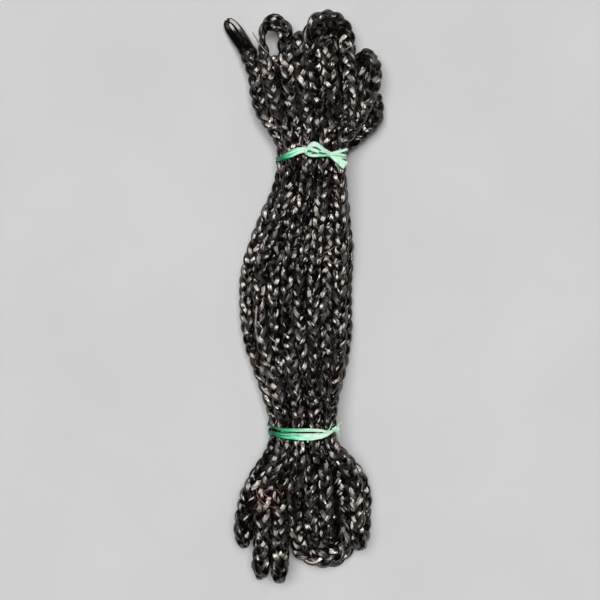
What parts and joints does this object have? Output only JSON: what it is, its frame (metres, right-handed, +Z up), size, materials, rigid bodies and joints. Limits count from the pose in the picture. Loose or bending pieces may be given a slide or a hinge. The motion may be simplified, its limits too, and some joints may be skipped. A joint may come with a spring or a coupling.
{
  "type": "climbing rope",
  "caption": "Long plaited rope folded into a slim hank and tied near both ends with flat plastic ribbon, ready for carrying or storage.",
  "frame": {"origin": "middle of the hank's outline, on the surface it lies on", "axes": "+Y along the hank towards the end with the loose rope end, +X across the hank, +Z up through its thickness"},
  "size_m": [0.1128, 0.3947, 0.0402],
  "materials": {
    "rope": "glossy near-black plaited fibre bands",
    "ribbon": "thin glossy mint-green plastic ribbon"
  },
  "bodies": {
    "root": {"rope_hank": "rope", "upper_tie_wrap": "ribbon", "upper_tie_knot": "ribbon", "upper_tie_tails": "ribbon", "lower_tie_wraps": "ribbon", "lower_tie_knot": "ribbon", "lower_tie_tails": "ribbon"}
  },
  "joints": []
}
